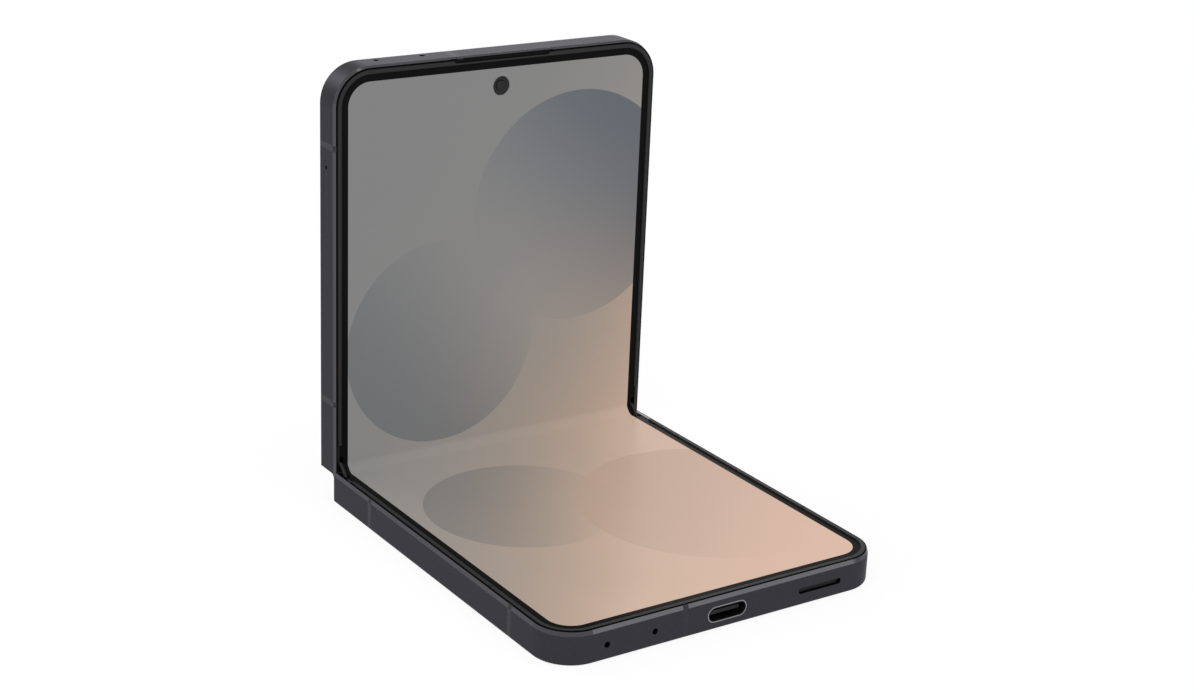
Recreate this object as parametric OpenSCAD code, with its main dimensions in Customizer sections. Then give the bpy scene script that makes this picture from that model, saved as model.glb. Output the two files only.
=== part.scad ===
// Clamshell foldable smartphone, standing half open on the back of its lower half.
// Row frame: +X is the phone's right side, the lower half runs towards -Y and lies on z = 0,
// the upper half stands up towards +Z. The origin is the middle of the lower half's back.
//
// Each half is drawn in its own "half frame": x across the phone, y away from the hinge,
// z = 0 on the display surface and negative towards the back. The hinge spine is drawn in
// the "spine frame", which is the same frame with the phone laid flat and y across the hinge.

/* [Body] */
// Width of the phone
phone_w = 75.2; // [70:0.1:80]
// Length of one half, from the seam to its far end
half_l = 84.2; // [80:0.1:92]
// Thickness of one half, from the display surface to its back
half_t = 6.6; // [6.4:0.1:7.6]
// Outline radius at the far corners of each half
corner_r = 7.8; // [5:0.1:12]
// Angle at which the phone stands open
stand_angle = 90; // [70:5:130]

/* [Hinge] */
// Depth of both fold axes below the display surface
axis_depth = 0.95; // [0.9:0.01:1]
// Distance of each fold axis from the seam
axis_offset = 1.3; // [1.26:0.01:1.36]
// Radius of the spine cover about each fold axis
spine_r = 3.5; // [3.45:0.01:3.6]
// Wall of the spine cover
spine_wall = 0.5; // [0.4:0.01:0.55]
// Running gap between the spine cover and the halves
spine_gap = 0.15; // [0.1:0.01:0.25]
// Gap between the two halves when the phone is flat
seam_gap = 0.1; // [0.06:0.01:0.2]
// Distance of each hinge module from the middle of the phone
module_x = 21; // [18:0.5:24]
// Pitch radius of each synchronising gear
gear_r = 0.9; // [0.86:0.01:0.91]
// Width of each synchronising gear
gear_w = 2.4; // [1.6:0.1:2.6]
// Depth of the gear shafts below the display surface
shaft_depth = 2.15; // [2.1:0.01:2.2]
// Radius of the hinge shafts
shaft_r = 0.4; // [0.3:0.01:0.45]
// Width of each swing arm
arm_w = 4; // [3:0.1:5]
// Thickness of each swing arm's lever
arm_t = 0.65; // [0.5:0.01:0.7]
// Reach of each swing arm's guide pin from the seam
arm_reach = 8.2; // [8:0.05:8.6]
// Radius of each swing arm's guide pin
pin_r = 0.3; // [0.25:0.01:0.35]

/* [Display] */
// Thickness of the flexible display
panel_t = 0.55; // [0.4:0.01:0.6]
// Thickness of the steel plate that backs the display
plate_t = 0.2; // [0.1:0.01:0.25]
// Distance from the seam at which the display starts to bend
fold_y = 3.8; // [3.4:0.1:4.4]
// Distance from the frame's outside to the display's edge
panel_inset = 1.15; // [1.05:0.01:1.3]
// Width of the raised rim around the display
rim_w = 0.95; // [0.8:0.01:1.2]
// Height of the rim above the display surface
rim_h = 0.25; // [0.15:0.01:0.28]
// Distance from the seam at which the rim ends
rim_y = 6.4; // [6:0.1:8]
// Radius of the front camera's opening in the display
selfie_r = 2; // [1.6:0.1:2.4]
// Distance of the front camera from the upper half's far end
selfie_end = 6.7; // [6.6:0.1:8]

/* [Frame] */
// Wall of the metal frame
wall = 1.6; // [1.5:0.05:2]
// Thickness of the frame's middle plate
mid_plate_t = 0.55; // [0.4:0.05:0.8]
// Width of the polished edge beside the display
edge_w = 0.3; // [0.2:0.05:0.35]
// Depth of the polished edge beside the display
edge_h = 0.8; // [0.6:0.05:1.3]
// Radius of the edge between the frame's side and its back
back_edge_r = 0.7; // [0.4:0.05:0.8]
// Height of the frame's lip above the display surface
lip_h = 0.1; // [0.05:0.01:0.15]
// Width of the frame's lip
lip_w = 0.4; // [0.36:0.01:0.45]
// Thickness of the back glass
glass_t = 0.6; // [0.5:0.05:0.8]
// Distance from the frame's outside to the back glass
glass_inset = 0.85; // [0.75:0.05:1.1]
// Width of the plastic antenna breaks in the frame
break_w = 1.2; // [0.8:0.1:1.6]

/* [Ports and keys] */
// Width of the charging socket's mouth
usb_w = 9; // [8.9:0.05:9.2]
// Height of the charging socket's mouth
usb_h = 3.25; // [3.15:0.05:3.4]
// Depth of the charging socket's tube
usb_l = 7.4; // [6.8:0.1:8]
// Depth of the ports' centre line below the display surface
port_depth = 3.5; // [3.4:0.05:3.6]
// Length of the loudspeaker slot
speaker_slot_l = 10.2; // [8:0.1:12]
// Height of the loudspeaker slot
speaker_slot_h = 1.2; // [1:0.1:1.6]
// Distance of the loudspeaker slot's middle from the phone's side
speaker_side = 15.8; // [15:0.1:17]
// Length of the earpiece slot
earpiece_l = 24; // [18:0.5:28]
// Radius of the microphone holes
mic_r = 0.6; // [0.4:0.05:0.65]
// Length of the card tray's cover
tray_l = 15.5; // [15:0.1:17]
// Height of the card tray's cover
tray_h = 2.3; // [2.1:0.05:2.6]
// Distance of the card tray's middle from the upper half's far end
tray_end = 26.5; // [26:0.1:27]
// Length of the side key with its fingerprint reader
side_key_l = 14; // [12:0.5:16]
// Place of the side key's middle, as a share of the half's length from the seam
side_key_share = 0.374; // [0.36:0.002:0.39]
// Length of the volume rocker
volume_l = 16; // [14:0.5:18]
// Distance of the volume rocker's middle from the upper half's far end
volume_end = 30.2; // [29.2:0.1:31.2]
// Height of the side key and of the volume rocker
key_h = 2.4; // [2:0.1:2.6]
// Travel of the side key
key_travel = 0.25; // [0.2:0.01:0.3]

/* [Rear cameras] */
// Outside radius of each lens ring
lens_ring_r = 6.2; // [5.6:0.1:6.6]
// Height of each lens ring above the back
lens_ring_h = 1.2; // [0.8:0.1:1.6]
// Distance between the two lens rings
lens_pitch = 14.6; // [13.6:0.1:15.6]
// Distance of the outer lens ring from the phone's side
lens_side = 11; // [10:0.1:12]
// Distance of the lens rings from the far end of the upper half
lens_end = 11.5; // [11:0.1:12.5]

/* [Hidden] */
// Smoothness of round shapes
$fn = 48;
// Play between pieces that are bonded or screwed together
fit = 0.05;
// Play between shafts and their bores
run_fit = 0.04;
// Overrun of cutting shapes
cut = 1;

// Angle that each of the two fold axes has turned from flat
fold = (180 - stand_angle) / 2;
half_w = phone_w / 2;
// Middle of the lower half's back is the origin
seam_y = half_l / 2;

// Fold axes in the half frame, and radii about them
axis_z = -axis_depth;
cavity_r = spine_r + spine_gap;
relief_r = axis_offset - seam_gap / 2;
rail_x = half_w - 1.1;
spine_x = rail_x - 0.1;
cap_x = spine_x - 0.7;
fold_half_w = cap_x - 0.1;

// Levels in each half, all measured from the display surface
plate_z = -panel_t - plate_t;
inside_top = plate_z - mid_plate_t;
glass_z = -half_t + glass_t;
inside_bottom = glass_z + fit;
back_lip_z = axis_z - cavity_r;
port_z = -port_depth;

// Outlines
rim_gap = 0.15;
rim_inset = lip_w + rim_gap;
rim_end_y = rim_y - 0.1;
beam_y = 6.7;
seat_y = 14;
glass_y = 1.3;

// Gear train: pitch-circle centres lie side by side across the spine
gear_teeth = 10;
shaft_z = -shaft_depth;
gear_module = 2 * gear_r / gear_teeth;
outer_shaft_y = 3 * gear_r;
inner_shaft_y = gear_r;
gear_backlash = 0.07;
gear_tip_r = gear_r + 0.85 * gear_module;
gear_root_r = gear_r - 1.15 * gear_module;
gear_base_r = gear_r * cos(20);
half_pitch = 180 / gear_teeth;
flank_steps = 4;
idler_shaft_r = shaft_r - 0.08;
bearing_w = 1;
spring_stack_l = 2.6;
spring_r = 1.08;
spring_discs = 4;

// Places along a hinge module, measured from its gears
arm_x = gear_w / 2 + bearing_w + 0.2;
spring_x = arm_x + arm_w + fit;
end_bearing_x = spring_x + spring_stack_l + fit;
module_end_x = end_bearing_x + bearing_w;
gear_end_x = gear_w / 2 + 0.1 + bearing_w;

// Swing arm, drawn flat in the half frame
arm_top_z = axis_z - 0.4;
arm_bottom_z = arm_top_z - arm_t;
hub_r = 1;
pin_z = -1.9;
pin_boss_r = 0.48;
pin_l = 0.75;
// Each axis turns this far either way from the photographed pose
pin_swing = 45;
// The arm slides on an arc about this radius, because its shaft is off the fold axis
slide_r = norm([outer_shaft_y - axis_offset, shaft_z - axis_z]);
slide_angle = atan2(shaft_z - axis_z, outer_shaft_y - axis_offset);
slide_centre = [arm_reach - (outer_shaft_y - axis_offset), pin_z - (shaft_z - axis_z)];
cheek_w = 0.8;
bracket_floor_z = -3.5;
bracket_floor_t = 0.5;
bracket_end_y = 12.6;
bracket_screw_y = 11.2;
screw_r = 0.5;
screw_head_r = 0.9;
screw_head_h = 0.5;
screw_edge = 0.95;

// Floor of the bearing blocks, and the caps that close the spine's ends
base_floor_t = 0.5;
base_seat_z = axis_z - spine_r + spine_wall;
base_screw_x = [arm_x + 2, end_bearing_x - screw_head_r - 0.1];
cap_top_w = 3.6;
cap_top_h = 0.2;

// Flat cable across the hinge
cable_w = 10;
cable_t = 0.15;
cable_z = -1.65;
cable_y = 5.6;
cable_end_y = 10.5;

// Rooms inside the halves
battery_side = half_w - wall - 0.6;
battery_y0 = 15.6;
battery_top_z = inside_top - 0.1;
battery_bottom_z = inside_bottom + 0.45;
lower_battery_y1 = half_l - 28.2;
upper_battery_y1 = half_l - 37.2;
board_t = 0.8;
board_z = -3.2;

// Lower half: charging board, loudspeaker box and what sits between them
sub_board_y0 = half_l - 25.2;
sub_board_z = board_z - 2.2;
speaker_x = half_w - speaker_side;
speaker_box_x0 = speaker_x - 8.6;
motor_x = 15.6 - half_w;
motor_y = half_l - 18.2;
motor_r = 4;
coil_y = 36;
coil_r = 19;
usb_y = half_l - 0.05;
usb_wall = 0.25;
usb_tongue_w = 6.6;
usb_tongue_t = 0.7;

// Microphones and antenna breaks, measured from the phone's left side
lower_mic_x = [10.9 - half_w, 21.3 - half_w];
upper_mic_x = [11.3 - half_w, 21.6 - half_w];
upper_mic_z = -4.3;
lower_break_x = 28 - half_w;
upper_break_x = 27.8 - half_w;
break_y = [15.3, half_l - 15.7];
break_depth = wall - 0.4;
magnet_side = 5.2;
magnet_end = 14;
magnet_r = 2;
magnet_t = 0.4;

// Upper half: cameras, main board and outer display
selfie_y = half_l - selfie_end;
selfie_body_w = 5.4;
lens_x = [half_w - lens_side, half_w - lens_side - lens_pitch];
lens_y = half_l - lens_end;
lens_bore_r = lens_ring_r - 1;
lens_seat_r = lens_ring_r - 0.8;
camera_w = 9.2;
lens_face_t = 0.63;
hood_r = lens_bore_r - 1.3;
hood_steps = 4;
hood_step_h = 0.2;
hood_step_w = 0.45;
front_lens_r = hood_r - 0.1 - hood_steps * hood_step_w;
front_lens_curve = 3;
front_lens_drop = front_lens_curve * cos(asin(front_lens_r / front_lens_curve));
flash_x = lens_x[1] - 10.4;
flash_r = 2.2;
leg_x0 = half_w - 27;
leg_x1 = half_w - wall - 1.1;
leg_can_x = (leg_x0 + leg_x1) / 2;
leg_can_w = leg_x1 - leg_x0 - 6;
tray_depth = 14.4;
arm_board_x0 = tray_depth + 2.7 - half_w;
arm_board_y0 = half_l - 33.7;
board_y1 = lens_y - 6.9;
arm_can_x = (arm_board_x0 + leg_x0) / 2;
arm_can_y = (arm_board_y0 + board_y1) / 2;
cover_inset = 4.2;
cover_y0 = 5.5;
cover_y1 = half_l - 6.2;
cover_t = 0.4;
earpiece_x0 = upper_mic_x[1] + 2.1;
earpiece_x1 = -selfie_body_w / 2 - 0.6;
earpiece_mid_y = half_l - wall - 4.6;

// Card tray and keys
tray_y = half_l - tray_end;
side_key_y = side_key_share * half_l;
volume_y = half_l - volume_end;
key_depth = 1.15;
key_gap = 0.08;
key_proud = 0.28;
key_back_x = half_w - key_depth + key_travel + 0.1;
plunger_r = 0.5;
switch_x = half_w - wall - 0.15 - key_travel - 0.12;

// Frame colours
metal = [0.30, 0.30, 0.32];
black = [0.05, 0.05, 0.055];
grey = [0.45, 0.45, 0.47];
steel = [0.62, 0.62, 0.64];
board_green = [0.06, 0.16, 0.12];
gold = [0.80, 0.62, 0.30];
screen_grey = [0.55, 0.54, 0.53];
screen_warm = [0.80, 0.66, 0.57];

// ---------------------------------------------------------------- placing the three bodies

// The lower half lies on its back
module place_lower() {
    translate([0, seam_y, half_t]) mirror([0, 1, 0]) children();
}

// The spine turns about the lower fold axis
module place_spine() {
    translate([0, seam_y - axis_offset, half_t + axis_z])
        rotate([fold, 0, 0])
            translate([0, axis_offset, -axis_z]) children();
}

// The upper half turns about the upper fold axis, which the spine carries
module place_upper() {
    place_spine()
        translate([0, axis_offset, axis_z])
            rotate([fold, 0, 0])
                translate([0, -axis_offset, -axis_z]) children();
}

// ---------------------------------------------------------------- common shapes

// Box from one corner to the opposite one
module block(low, high) {
    translate(low) cube(high - low);
}

// Same on both sides of the phone
module both_sides() {
    children();
    mirror([1, 0, 0]) children();
}

// Extrudes a profile drawn in (y, z) along x, from x0 to x1
module along_x(x0, x1) {
    translate([x0, 0, 0]) rotate([90, 0, 90]) linear_extrude(x1 - x0) children();
}

// Extrudes an outline drawn in (x, y) from z0 up to z1
module layer(z0, z1) {
    translate([0, 0, z0]) linear_extrude(z1 - z0) children();
}

// Rectangle with true round corners
module round_rect(w, h, r) {
    translate([-w / 2 + r, -h / 2]) square([w - 2 * r, h]);
    translate([-w / 2, -h / 2 + r]) square([w, h - 2 * r]);
    for (x = [-1, 1], y = [-1, 1])
        translate([x * (w / 2 - r), y * (h / 2 - r)]) circle(r);
}

// Slot with half-round ends, lying along x
module round_slot(l, h) {
    square([l - h, h], center = true);
    for (x = [-1, 1]) translate([x * (l - h) / 2, 0]) circle(h / 2);
}

// Outline of a half, drawn in from the frame's outside and starting at y0
module half_outline(inset, y0) {
    r = corner_r - inset;
    w = phone_w - 2 * inset;
    translate([-w / 2, y0]) square([w, half_l - corner_r - y0]);
    translate([-w / 2 + r, y0]) square([w - 2 * r, half_l - inset - y0]);
    for (x = [-1, 1]) translate([x * (half_w - corner_r), half_l - corner_r]) circle(r);
}

// Sweeps a profile drawn in (distance outside the outline, z) round a half from y0
module along_edge(y0) {
    both_sides() {
        translate([half_w, half_l - corner_r, 0]) rotate([90, 0, 0])
            linear_extrude(half_l - corner_r - y0) children();
        translate([half_w - corner_r, half_l - corner_r, 0])
            rotate_extrude(angle = 90) translate([corner_r, 0]) children();
    }
    translate([corner_r - half_w, half_l, 0]) rotate([90, 0, 90])
        linear_extrude(phone_w - 2 * corner_r) children();
}

// Straight screw with a flat round head whose underside is at z = 0
module screw(shank_l) {
    cylinder(r = screw_head_r, h = screw_head_h);
    translate([0, 0, -shank_l]) cylinder(r = screw_r, h = shank_l);
}

// ---------------------------------------------------------------- bending sheets

// Inverse of the smooth step 3t^2 - 2t^3
function smooth_inverse(w) = 0.5 - sin(asin(1 - 2 * w) / 3);
function turned(p, a) = [p[0] * cos(a) - p[1] * sin(a), p[0] * sin(a) + p[1] * cos(a)];

// A sheet that lies flat at height z when the phone is flat. The stretch from y0 to the
// middle turns about the fold axis by a share w of the fold, so it lies flat again when
// the phone opens. Points are in the spine frame's (y, z), for the upper side.
function sheet_axis() = [axis_offset, axis_z];
function sheet_start(y0, z) =
    sheet_axis() + turned([y0, z] - sheet_axis(), fold);
function sheet_point(y0, z, w) =
    let (a = sheet_axis(), s = sheet_start(y0, z), e = [0, z], u = (e - s) / norm(e - s),
         t = smooth_inverse(w), turn = fold * (1 - w),
         // flat height stays z, flat distance q solves the projection on the chord
         base = a + turned([-a[0], z - a[1]], turn), dir = turned([1, 0], turn),
         q = (t * norm(e - s) - (base - s) * u) / (dir * u))
    base + q * dir;

// Profile of the bending stretch between two depths, upper side then lower side
module sheet_profile(y0, top, bottom, steps = 12) {
    upper_top = [for (i = [0:steps]) sheet_point(y0, top, i / steps)];
    upper_bottom = [for (i = [0:steps]) sheet_point(y0, bottom, i / steps)];
    top_line = concat(upper_top, [for (i = [steps - 1:-1:0]) [-upper_top[i][0], upper_top[i][1]]]);
    bottom_line = concat(
        upper_bottom, [for (i = [steps - 1:-1:0]) [-upper_bottom[i][0], upper_bottom[i][1]]]);
    count = len(bottom_line);
    polygon(concat(top_line, [for (i = [count - 1:-1:0]) bottom_line[i]]));
}

// ---------------------------------------------------------------- frames

// Outside of the frame with its polished front edge and rounded back edge
module frame_outside() {
    difference() {
        layer(-half_t, lip_h) half_outline(0, seam_gap / 2);
        along_edge(-cut) polygon([
            [-edge_w, lip_h], [-edge_w, lip_h + cut], [cut, lip_h + cut],
            [cut, lip_h - edge_h], [0, lip_h - edge_h]]);
        along_edge(-cut) difference() {
            translate([-back_edge_r, -half_t - cut]) square([back_edge_r + cut, back_edge_r + cut]);
            translate([-back_edge_r, -half_t + back_edge_r]) circle(back_edge_r);
        }
    }
}

// Room for the hinge spine between the side rails
module spine_cavity() {
    along_x(-rail_x, rail_x) {
        translate([axis_offset, axis_z]) circle(cavity_r);
        translate([-cut, back_lip_z]) square([cut + axis_offset, cavity_r + cut]);
        translate([-cut, axis_z]) square([cut + axis_offset + cavity_r, axis_depth + cut]);
    }
    seam_relief();
}

// Rounds the rails' display corners about the fold axis
module seam_relief() {
    both_sides() along_x(rail_x - fit, half_w + cut) difference() {
        translate([-cut, axis_z]) square([cut + axis_offset, axis_depth + cut]);
        translate([axis_offset, axis_z]) circle(relief_r);
    }
}

// Room under the middle plate, with a seat left on each side for the hinge brackets
module inside_room() {
    difference() {
        layer(-half_t - cut, inside_top) half_outline(wall, beam_y);
        both_sides() block(
            [bracket_x0() - 1.4, beam_y - cut, inside_bottom], [bracket_x1() + 1.4, seat_y, cut]);
    }
    layer(-half_t - cut, inside_bottom) half_outline(glass_inset, glass_y);
}

// Pocket that the hinge bracket sits in and the swing arm moves in
module bracket_pocket() {
    both_sides() {
        block([bracket_x0() - fit, 0, bracket_floor_z - bracket_floor_t],
              [bracket_x1() + fit, bracket_end_y + fit, inside_top]);
        for (x = bracket_screw_x())
            translate([x, bracket_screw_y, inside_bottom + 0.7]) cylinder(r = screw_r, h = 3);
    }
    // opening for the flat cable
    block([-cable_w / 2 - 0.3, 0, cable_z - 1], [cable_w / 2 + 0.3, beam_y + cut, inside_top]);
}

// Metal shell common to both halves
module half_frame() {
    difference() {
        frame_outside();
        // recess for the display and its rim
        layer(plate_z, cut) half_outline(lip_w, rim_end_y);
        both_sides() block([rail_x - cut, -cut, plate_z], [half_w - lip_w, rim_end_y + cut, cut]);
        layer(plate_z, cut) half_outline(panel_inset - fit, axis_offset + cavity_r - cut);
        spine_cavity();
        inside_room();
        bracket_pocket();
    }
}

// Places of the antenna breaks: [x, y] on the outline and the side they cut
function break_blocks(end_x) = [
    for (x = [-1, 1], y = break_y) [[x * half_w, y], [2 * wall, break_w]],
    [[end_x, half_l], [break_w, 2 * wall]]
];

// Plastic pieces of the antenna breaks, flush with the frame from its back to its lip
module break_pieces(end_x) {
    intersection() {
        frame_outside();
        for (b = break_blocks(end_x))
            translate([b[0][0] - b[1][0] / 2, b[0][1] - b[1][1] / 2, -half_t - cut])
                cube([b[1][0], b[1][1], half_t + 2 * cut]);
        difference() {
            layer(-half_t - cut, cut) half_outline(-cut, 0);
            layer(-half_t - 2 * cut, inside_bottom) half_outline(glass_inset, 0);
            layer(inside_bottom, plate_z) half_outline(break_depth, 0);
            layer(plate_z, 2 * cut) half_outline(lip_w, 0);
        }
    }
}

// Slot for a port in the far end of a half, through its wall
module end_port(x, z, l, h) {
    translate([x, half_l + cut, z]) rotate([90, 0, 0])
        linear_extrude(wall + 2 * cut) round_slot(l, h);
}

// Round hole in the far end of a half, through its wall
module end_hole(x, z, r) {
    translate([x, half_l + cut, z]) rotate([90, 0, 0]) cylinder(r = r, h = wall + 2 * cut);
}

module lower_frame() {
    color(metal) place_lower() difference() {
        half_frame();
        break_pieces(lower_break_x);
        end_port(0, port_z, usb_w + 2 * fit, usb_h + 2 * fit);
        end_port(speaker_x, port_z, speaker_slot_l, speaker_slot_h);
        for (x = lower_mic_x) end_hole(x, port_z, mic_r);
        magnet_pockets();
    }
}

module upper_frame() {
    color(metal) place_upper() difference() {
        half_frame();
        break_pieces(upper_break_x);
        for (x = upper_mic_x) end_hole(x, upper_mic_z, mic_r);
        // opening for the front camera
        translate([0, selfie_y, inside_top - cut]) cylinder(r = selfie_r + 1.1, h = 4);
        // slot for the earpiece mesh, and the way behind it
        layer(plate_z, cut) earpiece_outline(0);
        block([-earpiece_l / 2 + 2, half_l - wall - cut, inside_top - cut],
              [earpiece_l / 2 - 2, half_l - panel_inset + 0.1, cut]);
        layer(glass_z - cut, glass_z + cover_t + 2 * fit) cover_display_outline(fit);
        // card tray, side key and volume rocker
        translate([-half_w - cut, tray_y, port_z]) rotate([90, 0, 90])
            linear_extrude(wall + 2 * cut) round_slot(tray_l + 2 * fit, tray_h + 2 * fit);
        key_opening(side_key_y, side_key_l);
        key_opening(volume_y, volume_l);
        magnet_pockets();
    }
}

// Recess for a key in the right side, and the two holes for its plungers
module key_opening(y, l) {
    translate([half_w - key_depth, y, port_z]) rotate([90, 0, 90])
        linear_extrude(key_depth + cut) round_slot(l + 2 * key_gap, key_h + 2 * key_gap);
    for (s = [-1, 1])
        translate([half_w - wall - cut, y + s * plunger_place(l), port_z]) rotate([0, 90, 0])
            cylinder(r = plunger_r + 0.06, h = wall + cut);
}
function plunger_place(l) = l / 2 - 2.6;

// ---------------------------------------------------------------- skins of the halves

module back_glass_outline() {
    r = 1;
    inset = glass_inset + fit;
    w = phone_w - 2 * inset;
    difference() {
        half_outline(inset, glass_y + fit);
        // small round corners at the seam
        both_sides() translate([w / 2 - r, glass_y + fit]) difference() {
            translate([0, -cut]) square([r + cut, r + cut]);
            translate([0, r]) circle(r);
        }
    }
}

module lower_back_glass() {
    color(metal) place_lower() layer(-half_t, glass_z) back_glass_outline();
}

module upper_back_glass() {
    color(black) place_upper() difference() {
        layer(-half_t, glass_z) back_glass_outline();
        for (x = lens_x) translate([x, lens_y, -half_t - cut])
            cylinder(r = lens_seat_r + fit, h = 4);
        translate([flash_x, lens_y, -half_t - cut]) cylinder(r = flash_r + fit, h = 4);
    }
}

// Raised plastic rim: a skirt beside the display and a lip over its edge
module bezel_rim() {
    skirt_w = panel_inset - rim_inset - 0.1;
    difference() {
        along_edge(rim_y) {
            translate([-rim_inset - skirt_w, plate_z]) square([skirt_w, rim_h - plate_z]);
            translate([-rim_inset - rim_w, 0.02]) square([rim_w, rim_h - 0.02 - 0.06]);
            translate([-rim_inset - rim_w + 0.1, 0.02]) square([rim_w - 0.2, rim_h - 0.02]);
        }
        children();
    }
}

module lower_bezel_rim() {
    color(grey) place_lower() bezel_rim();
}

// Glossy ends of the rim, sunk level with the frame's lip beside the bend
module rim_ends() {
    difference() {
        both_sides() block([rail_x, seam_gap / 2, plate_z],
                           [half_w - lip_w - fit, rim_end_y - fit, lip_h - 0.02]);
        seam_relief();
    }
}

module lower_rim_ends() { color(black) place_lower() rim_ends(); }
module upper_rim_ends() { color(black) place_upper() rim_ends(); }

// The upper rim is notched for the earpiece
module upper_bezel_rim() {
    color(grey) place_upper() bezel_rim()
        layer(-cut, cut) earpiece_outline(0);
}

// Long slot with slanted ends between the frame and the rim
module earpiece_outline(play) {
    y0 = half_l - lip_w - 0.75;
    y1 = half_l - lip_w + 0.16;
    l = earpiece_l / 2 - play;
    polygon([[-l, y1], [-l + 1.2, y0 + play], [l - 1.2, y0 + play], [l, y1]]);
}

// Flat part of the display in one half
module display_panel() {
    layer(-panel_t, 0) half_outline(panel_inset, fold_y);
}

module lower_display_panel() {
    color(screen_warm) place_lower() display_panel();
}

module upper_display_panel() {
    color(screen_grey) place_upper() difference() {
        display_panel();
        translate([0, selfie_y, -2]) cylinder(r = selfie_r, h = 4);
    }
}

// Steel plate behind the display
module support_plate() {
    layer(plate_z, -panel_t) half_outline(panel_inset + 0.5, axis_offset + cavity_r - 0.9);
}

module lower_support_plate() {
    color(steel) place_lower() support_plate();
}

module upper_support_plate() {
    color(steel) place_upper() difference() {
        support_plate();
        translate([0, selfie_y, -2]) cylinder(r = selfie_r + 0.2, h = 4);
    }
}

module lower_antenna_breaks() {
    color([0.22, 0.22, 0.24]) place_lower() break_pieces(lower_break_x);
}

module upper_antenna_breaks() {
    color([0.22, 0.22, 0.24]) place_upper() break_pieces(upper_break_x);
}

// ---------------------------------------------------------------- hinge spine

// Outside of the spine: a quarter round about each fold axis, joined by a flat
module spine_profile(shrink) {
    intersection() {
        union() {
            for (s = [-1, 1]) translate([s * axis_offset, axis_z]) circle(spine_r - shrink);
            translate([-axis_offset, axis_z - spine_r + shrink])
                square([2 * axis_offset, spine_r]);
        }
        translate([-spine_r * 2, axis_z - spine_r]) square([spine_r * 4, spine_r - shrink / 50]);
    }
}

module hinge_spine_cover() {
    color(metal) place_spine() difference() {
        along_x(-cap_x, cap_x) spine_profile(0);
        along_x(-cap_x - cut, cap_x + cut) {
            spine_profile(spine_wall);
            translate([-axis_offset - spine_r + spine_wall, axis_z - 0.3])
                square([2 * (axis_offset + spine_r - spine_wall), 1]);
        }
        // notches for the swing arms and for the flat cable
        both_sides() block([module_x + arm_x - 0.2, -10, arm_bottom_z - 0.12],
                           [module_x + arm_x + arm_w + 0.2, 10, 1]);
        block([-cable_w / 2 - 0.3, -10, cable_z - cable_t - 0.1], [cable_w / 2 + 0.3, 10, 1]);
        both_sides() for (x = base_screw_x) translate([module_x + x, 0, -10])
            cylinder(r = screw_r + fit, h = 9);
    }
}

// Caps that close the spine's ends and cover the notches in the display's edge
module hinge_end_caps() {
    color(black) place_spine() both_sides() along_x(cap_x + fit, spine_x) {
        spine_profile(fit);
        polygon([
            [-axis_offset - 2, axis_z - 1], [axis_offset + 2, axis_z - 1],
            [axis_offset + 2, axis_z + 0.2], [cap_top_w / 2, cap_top_h],
            [-cap_top_w / 2, cap_top_h], [-axis_offset - 2, axis_z + 0.2]]);
    }
}

// Bearing block of one hinge module: three bearing walls on a floor
module hinge_base() {
    floor_z = base_seat_z + base_floor_t;
    difference() {
        along_x(-gear_end_x, module_end_x) difference() {
            spine_profile(spine_wall + fit);
            translate([-10, axis_z - 0.25]) square([20, 1]);
        }
        // rooms between the bearing walls
        for (room = [[-gear_w / 2 - 0.1, gear_w / 2 + 0.1], [arm_x - 0.1, end_bearing_x]])
            block([room[0], -10, floor_z], [room[1], 10, 1]);
        for (y = [-outer_shaft_y, outer_shaft_y]) shaft_at(y, -10, 30, shaft_r + run_fit);
        for (y = [-inner_shaft_y, inner_shaft_y]) shaft_at(y, -10, arm_x + 10, idler_shaft_r + run_fit);
        for (x = base_screw_x) translate([x, 0, -10]) cylinder(r = screw_r + fit, h = 10);
    }
}

// Cylinder along x at a gear shaft's place
module shaft_at(y, x0, x1, r) {
    translate([x0, y, shaft_z]) rotate([0, 90, 0]) cylinder(r = r, h = x1 - x0);
}

module at_modules() {
    both_sides() translate([module_x, 0, 0]) children();
}

module hinge_bases() {
    color(steel) place_spine() at_modules() hinge_base();
}

module hinge_base_screws() {
    color(grey) place_spine() at_modules() for (x = base_screw_x)
        translate([x, 0, base_seat_z + base_floor_t])
            screw(base_floor_t + spine_wall - 0.1);
}

// Stacks of disc springs that give the hinge its friction
module hinge_disc_springs() {
    disc_l = spring_stack_l / (2 * spring_discs);
    zigzag = [for (i = [0:2 * spring_discs]) i];
    color(steel) place_spine() at_modules() for (y = [-outer_shaft_y, outer_shaft_y])
        translate([spring_x, y, shaft_z]) rotate([0, 90, 0]) rotate_extrude() polygon(concat(
            [for (i = zigzag) [i % 2 == 0 ? shaft_r + 0.06 : shaft_r + 0.16, i * disc_l]],
            [for (i = zigzag) let (j = 2 * spring_discs - i)
                [j % 2 == 0 ? spring_r - 0.16 : spring_r, j * disc_l]]));
}

// ---------------------------------------------------------------- gears and arms

function involute(r) = let (c = gear_r * cos(20) / r, a = acos(min(1, c))) tan(a) * 180 / PI - a;
half_tooth = 90 / gear_teeth - gear_backlash / gear_r * 180 / PI / 2 + involute(gear_r);
function flank_r(i) = gear_base_r + (gear_tip_r - gear_base_r) * i / flank_steps;
function polar(r, a) = [r * cos(a), r * sin(a)];

// Outline of a gear with its first tooth along x
module gear_outline() {
    polygon([for (k = [0:gear_teeth - 1]) let (a = k * 360 / gear_teeth)
        each concat(
            [polar(gear_root_r, a - half_tooth - 1)],
            [for (i = [0:flank_steps]) polar(flank_r(i), a - half_tooth + involute(flank_r(i)))],
            [for (i = [flank_steps:-1:0]) polar(flank_r(i), a + half_tooth - involute(flank_r(i)))],
            [polar(gear_root_r, a + half_tooth + 1)])]);
}

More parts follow.
